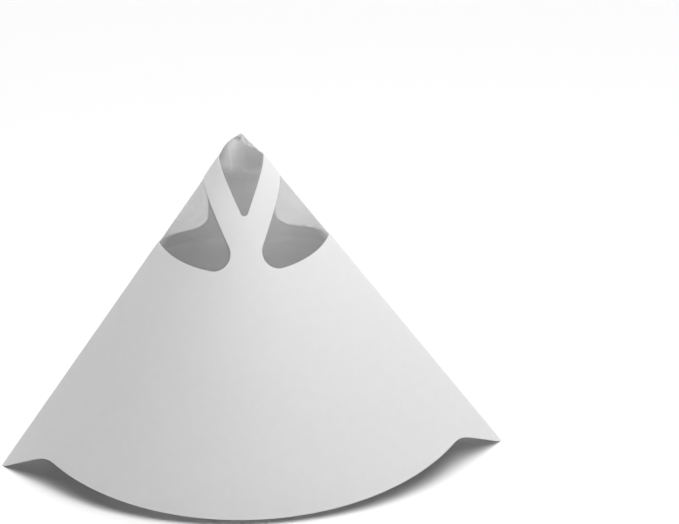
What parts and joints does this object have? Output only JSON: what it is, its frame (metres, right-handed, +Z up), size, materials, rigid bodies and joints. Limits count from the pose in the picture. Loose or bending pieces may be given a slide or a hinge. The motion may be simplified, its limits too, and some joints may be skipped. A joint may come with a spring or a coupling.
{
  "type": "paint strainer",
  "caption": "An opened paper cone strainer standing on its two ears, tip up, with Y-shaped paper at the tip around windows lined with fine nylon gauze.",
  "frame": {"origin": "on the table, under the middle of the standing cone", "axes": "+X across the two creases towards the right ear, +Y towards the glued lap at the back, +Z up towards the tip"},
  "size_m": [0.2062, 0.1408, 0.1413],
  "materials": {
    "paper": "smooth uncoated white paper",
    "gauze": "fine see-through woven nylon"
  },
  "bodies": {
    "root": {"paper_cone": "paper", "gauze_lining": "gauze"}
  },
  "joints": []
}
